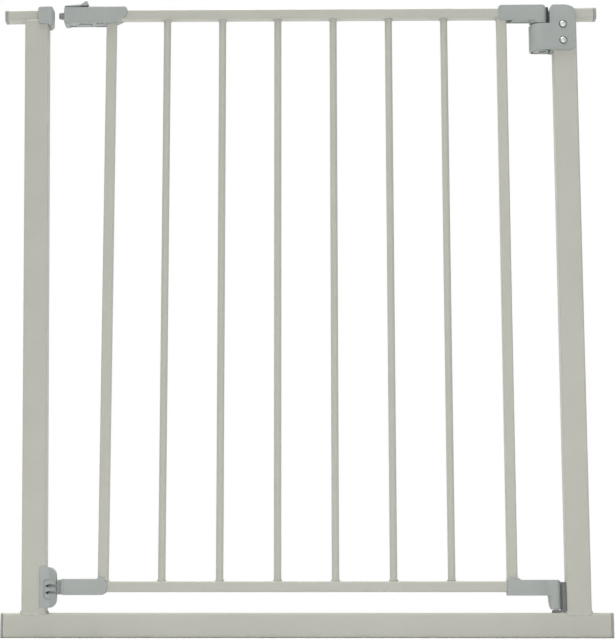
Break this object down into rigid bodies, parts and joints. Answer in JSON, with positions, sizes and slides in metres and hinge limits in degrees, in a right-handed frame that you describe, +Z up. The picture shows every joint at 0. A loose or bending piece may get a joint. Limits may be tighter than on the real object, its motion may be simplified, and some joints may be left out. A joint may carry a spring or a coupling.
{
  "type": "safety baby gate",
  "caption": "Pressure-fit stair gate: a steel frame that stands between two walls and a barred door that turns on pivots and closes on a spring bolt.",
  "frame": {"origin": "middle of the underside of the bottom rail, on the floor", "axes": "+X towards the hinge side, +Y away from the room side with the screws in view, +Z up"},
  "size_m": [0.7147, 0.0273, 0.7607],
  "materials": {
    "painted_steel": "satin powder coat, warm light grey",
    "grey_moulding": "fine satin moulded nylon, mid grey",
    "dark_moulding": "moulded nylon, darker grey",
    "black_moulding": "black moulded bearing plastic",
    "zinc_plated_steel": "bright zinc plate",
    "spring_steel": "drawn spring wire"
  },
  "bodies": {
    "frame": {"bottom_rail": "painted_steel", "hinge_upright": "painted_steel", "latch_upright": "painted_steel", "latch_top_stub": "painted_steel", "hinge_top_stub": "painted_steel", "bottom_right_plug": "dark_moulding", "bottom_left_plug": "dark_moulding", "top_right_plug": "dark_moulding", "top_left_plug": "dark_moulding", "strike_cap": "grey_moulding", "lower_catch": "grey_moulding", "hinge_block": "grey_moulding", "hinge_screw_upper": "zinc_plated_steel", "hinge_screw_lower": "zinc_plated_steel", "hinge_bush": "black_moulding", "lower_pivot_cup": "black_moulding"},
    "gate": {"gate_top_rail": "painted_steel", "gate_bottom_rail": "painted_steel", "gate_latch_stile": "painted_steel", "gate_hinge_stile": "painted_steel", "bar_1": "painted_steel", "bar_2": "painted_steel", "bar_3": "painted_steel", "bar_4": "painted_steel", "bar_5": "painted_steel", "bar_6": "painted_steel", "latch_housing": "grey_moulding", "latch_spring": "spring_steel", "hinge_arm": "grey_moulding", "hinge_cam": "black_moulding", "upper_pivot_pin": "zinc_plated_steel", "lower_catch_arm": "grey_moulding", "lower_catch_tongue": "dark_moulding", "lower_hinge_foot": "grey_moulding", "lower_pivot_pin": "zinc_plated_steel", "latch_housing_screw": "zinc_plated_steel", "hinge_arm_screw": "zinc_plated_steel", "catch_arm_screw": "zinc_plated_steel", "hinge_foot_screw": "zinc_plated_steel"},
    "latch": {"latch_bolt": "dark_moulding", "thumb_slider": "grey_moulding"},
    "trigger": {"safety_trigger": "grey_moulding"}
  },
  "joints": [
    {"name": "gate_swing", "type": "hinge", "parent": "frame", "child": "gate", "pos_m": [0.2865, 0, 0], "axis": [0, 0, 1], "range_deg": [-90, 90]},
    {"name": "bolt_slide", "type": "slide", "parent": "gate", "child": "latch", "axis": [1, 0, 0], "range_m": [0, 0.0068], "stiffness_N_per_m": 500, "springref_m": -0.008, "deforming": ["latch_spring"]},
    {"name": "trigger_press", "type": "slide", "parent": "gate", "child": "trigger", "axis": [0, 0, 1], "range_m": [0, 0.002], "stiffness_N_per_m": 600, "springref_m": -0.002}
  ]
}
